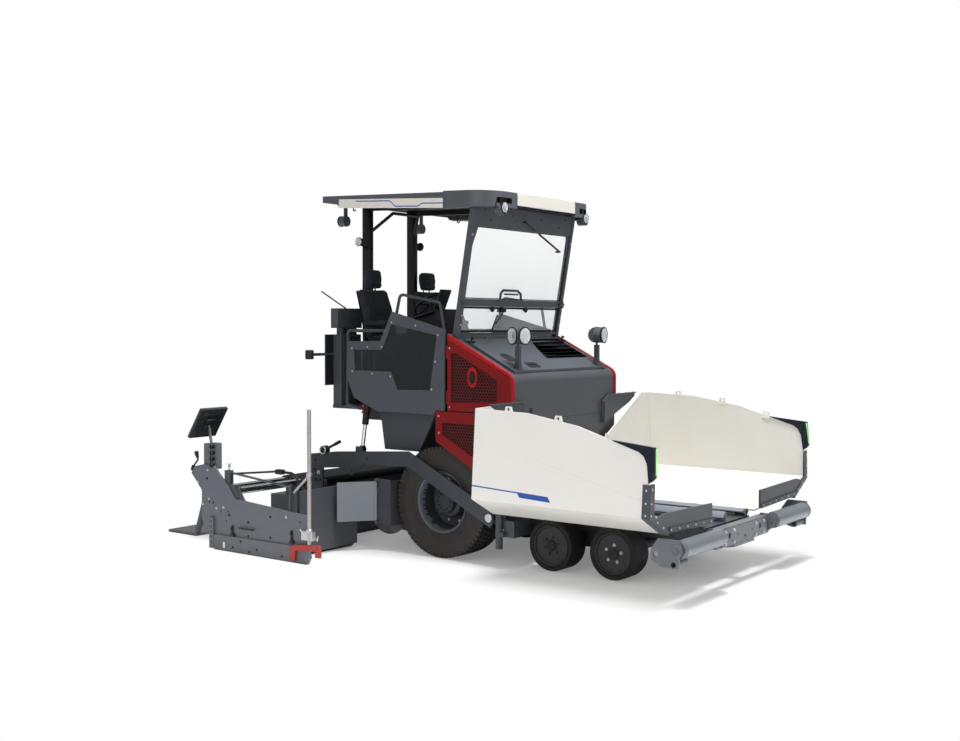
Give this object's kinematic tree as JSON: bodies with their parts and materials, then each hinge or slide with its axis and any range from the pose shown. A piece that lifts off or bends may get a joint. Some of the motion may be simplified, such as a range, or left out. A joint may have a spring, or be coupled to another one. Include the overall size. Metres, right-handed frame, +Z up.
{
  "type": "wheeled asphalt paver with extending screed",
  "caption": "Wheeled asphalt paver: folding hopper wings, slat conveyor, augers, roofed operator platform and a towed, lifting, extending screed.",
  "frame": {"origin": "on the ground under the middle of the rear axle, which is also the middle of the machine's box", "axes": "+X forward to the hopper and push rollers, +Y to the machine's left, +Z up"},
  "size_m": [5.69, 3.8358, 3.545],
  "materials": {
    "frame_grey": "satin painted steel",
    "machine_grey": "satin painted sheet",
    "bright_grey": "satin painted plate",
    "roof_grey": "satin moulded roof",
    "trim_white": "gloss white panel",
    "hopper_white": "semi gloss painted sheet",
    "panel_red": "gloss painted sheet",
    "rim_grey": "satin painted steel",
    "tyre_rubber": "matt rubber",
    "wear_steel": "worn steel",
    "engine_dark": "matt",
    "rail_grey": "satin painted tube",
    "black_plastic": "moulded plastic",
    "seat_cloth": "woven seat cover",
    "tinted_glass": "tinted pane",
    "cylinder_black": "gloss black paint",
    "chrome_rod": "polished rod"
  },
  "bodies": {
    "tractor": {"main_frame": "frame_grey", "hopper_frame": "frame_grey", "channel_fronts": "frame_grey", "slat_conveyor": "wear_steel", "conveyor_guards": "bright_grey", "final_drives": "frame_grey", "front_axles": "frame_grey", "drive_block": "engine_dark", "hood_cowl": "machine_grey", "lower_covers": "panel_red", "corner_flaps": "machine_grey", "tank_body": "frame_grey", "platform_deck": "frame_grey", "side_panels": "machine_grey", "glazing": "tinted_glass", "roof_frame": "machine_grey", "handrails": "rail_grey", "seats": "seat_cloth", "rear_cabinets": "machine_grey", "console": "black_plastic", "roof_shell": "roof_grey", "roof_trim": "trim_white", "tow_brackets": "frame_grey"},
    "hood_lid": {"hood_lid": "machine_grey", "bonnet_lamps": "black_plastic"},
    "push_beam": {"push_beam": "frame_grey"},
    "screed": {"screed_base": "frame_grey", "tow_arms": "frame_grey"},
    "lift_barrels": {"lift_barrels": "cylinder_black"},
    "lift_rods": {"lift_rods": "chrome_rod"},
    "door_left": {"side_door_left": "panel_red"},
    "rear_wheel_left": {"rear_tyre_left": "tyre_rubber", "rear_rim_left": "rim_grey"},
    "mid_wheel_left": {"mid_tyre_left": "tyre_rubber", "mid_rim_left": "rim_grey"},
    "steer_knuckle_left": {"knuckle_left": "frame_grey"},
    "front_wheel_left": {"front_tyre_left": "tyre_rubber", "front_rim_left": "rim_grey"},
    "hopper_wing_left": {"wing_left": "hopper_white", "wing_apron_left": "machine_grey"},
    "roller_left": {"push_roller_left": "wear_steel"},
    "auger_left": {"auger_left": "wear_steel"},
    "channel_plate_left": {"tunnel_plate_left": "bright_grey"},
    "extension_left": {"extension_left": "frame_grey", "end_gate_left": "machine_grey"},
    "door_right": {"side_door_right": "panel_red"},
    "rear_wheel_right": {"rear_tyre_right": "tyre_rubber", "rear_rim_right": "rim_grey"},
    "mid_wheel_right": {"mid_tyre_right": "tyre_rubber", "mid_rim_right": "rim_grey"},
    "steer_knuckle_right": {"knuckle_right": "frame_grey"},
    "front_wheel_right": {"front_tyre_right": "tyre_rubber", "front_rim_right": "rim_grey"},
    "hopper_wing_right": {"wing_right": "hopper_white", "wing_apron_right": "machine_grey"},
    "roller_right": {"push_roller_right": "wear_steel"},
    "auger_right": {"auger_right": "wear_steel"},
    "channel_plate_right": {"tunnel_plate_right": "bright_grey"},
    "extension_right": {"extension_right": "frame_grey", "end_gate_right": "machine_grey"}
  },
  "joints": [
    {"name": "hood_lid_hinge", "type": "hinge", "parent": "tractor", "child": "hood_lid", "pos_m": [0.228, 0, 2.121], "axis": [0, -1, 0], "range_deg": [0, 55]},
    {"name": "push_beam_swivel", "type": "hinge", "parent": "tractor", "child": "push_beam", "pos_m": [2.615, 0, 0.41], "axis": [0, 0, 1], "range_deg": [-5, 5]},
    {"name": "screed_lift", "type": "hinge", "parent": "tractor", "child": "screed", "pos_m": [0.62, 0, 0.458], "axis": [0, 1, 0], "range_deg": [0, 6]},
    {"name": "lift_barrel_swing", "type": "hinge", "parent": "tractor", "child": "lift_barrels", "pos_m": [-0.945, 0, 1.56], "axis": [0, -1, 0], "range_deg": [0, 5.7]},
    {"name": "lift_rod_slide", "type": "slide", "parent": "lift_barrels", "child": "lift_rods", "axis": [0.1475, 0, 0.9891], "range_m": [0, 0.177]},
    {"name": "door_hinge_left", "type": "hinge", "parent": "tractor", "child": "door_left", "pos_m": [0.114, 0.91, 1.7], "axis": [0, 0, 1], "range_deg": [0, 90]},
    {"name": "rear_wheel_spin_left", "type": "hinge", "parent": "tractor", "child": "rear_wheel_left", "pos_m": [0, 0.7, 0.54], "axis": [0, 1, 0], "continuous": true},
    {"name": "mid_wheel_spin_left", "type": "hinge", "parent": "tractor", "child": "mid_wheel_left", "pos_m": [1.184, 0.63, 0.235], "axis": [0, 1, 0], "continuous": true},
    {"name": "steering_left", "type": "hinge", "parent": "tractor", "child": "steer_knuckle_left", "pos_m": [1.835, 0.56, 0.235], "axis": [0, 0, 1], "range_deg": [-15, 15]},
    {"name": "front_wheel_spin_left", "type": "hinge", "parent": "steer_knuckle_left", "child": "front_wheel_left", "pos_m": [1.835, 0.63, 0.235], "axis": [0, 1, 0], "continuous": true},
    {"name": "wing_fold_left", "type": "hinge", "parent": "tractor", "child": "hopper_wing_left", "pos_m": [1.8, 0.48, 0.532], "axis": [1, 0, 0], "range_deg": [0, 50]},
    {"name": "roller_spin_left", "type": "hinge", "parent": "push_beam", "child": "roller_left", "pos_m": [2.77, 0.93, 0.46], "axis": [0, 1, 0], "continuous": true},
    {"name": "auger_spin_left", "type": "hinge", "parent": "tractor", "child": "auger_left", "pos_m": [-0.8, 0.46, 0.3], "axis": [0, 1, 0], "continuous": true},
    {"name": "channel_plate_hinge_left", "type": "hinge", "parent": "tractor", "child": "channel_plate_left", "pos_m": [-0.772, 0.945, 0.5], "axis": [0, 0, -1], "range_deg": [0, 128]},
    {"name": "extension_slide_left", "type": "slide", "parent": "screed", "child": "extension_left", "axis": [0, -1, 0], "range_m": [0, 0.8]},
    {"name": "door_hinge_right", "type": "hinge", "parent": "tractor", "child": "door_right", "pos_m": [0.114, -0.91, 1.7], "axis": [0, 0, -1], "range_deg": [0, 90]},
    {"name": "rear_wheel_spin_right", "type": "hinge", "parent": "tractor", "child": "rear_wheel_right", "pos_m": [0, -0.7, 0.54], "axis": [0, 1, 0], "continuous": true},
    {"name": "mid_wheel_spin_right", "type": "hinge", "parent": "tractor", "child": "mid_wheel_right", "pos_m": [1.184, -0.63, 0.235], "axis": [0, 1, 0], "continuous": true},
    {"name": "steering_right", "type": "hinge", "parent": "tractor", "child": "steer_knuckle_right", "pos_m": [1.835, -0.56, 0.235], "axis": [0, 0, 1], "range_deg": [-15, 15]},
    {"name": "front_wheel_spin_right", "type": "hinge", "parent": "steer_knuckle_right", "child": "front_wheel_right", "pos_m": [1.835, -0.63, 0.235], "axis": [0, 1, 0], "continuous": true},
    {"name": "wing_fold_right", "type": "hinge", "parent": "tractor", "child": "hopper_wing_right", "pos_m": [1.8, -0.48, 0.532], "axis": [-1, 0, 0], "range_deg": [0, 50]},
    {"name": "roller_spin_right", "type": "hinge", "parent": "push_beam", "child": "roller_right", "pos_m": [2.77, -0.93, 0.46], "axis": [0, 1, 0], "continuous": true},
    {"name": "auger_spin_right", "type": "hinge", "parent": "tractor", "child": "auger_right", "pos_m": [-0.8, -0.46, 0.3], "axis": [0, 1, 0], "continuous": true},
    {"name": "channel_plate_hinge_right", "type": "hinge", "parent": "tractor", "child": "channel_plate_right", "pos_m": [-0.772, -0.945, 0.5], "axis": [0, 0, 1], "range_deg": [0, 128]},
    {"name": "extension_slide_right", "type": "slide", "parent": "screed", "child": "extension_right", "axis": [0, 1, 0], "range_m": [0, 0.8]}
  ],
  "couplings": [
    {"joint": "lift_barrel_swing", "follows": "screed_lift", "ratio": 0.93},
    {"joint": "lift_rod_slide", "follows": "screed_lift", "m_per_rad": 1.6749},
    {"joint": "channel_plate_hinge_left", "follows": "extension_slide_left", "rad_per_m": 2.7903},
    {"joint": "channel_plate_hinge_right", "follows": "extension_slide_right", "rad_per_m": 2.7903},
    {"joint": "steering_right", "follows": "steering_left", "ratio": 1}
  ]
}
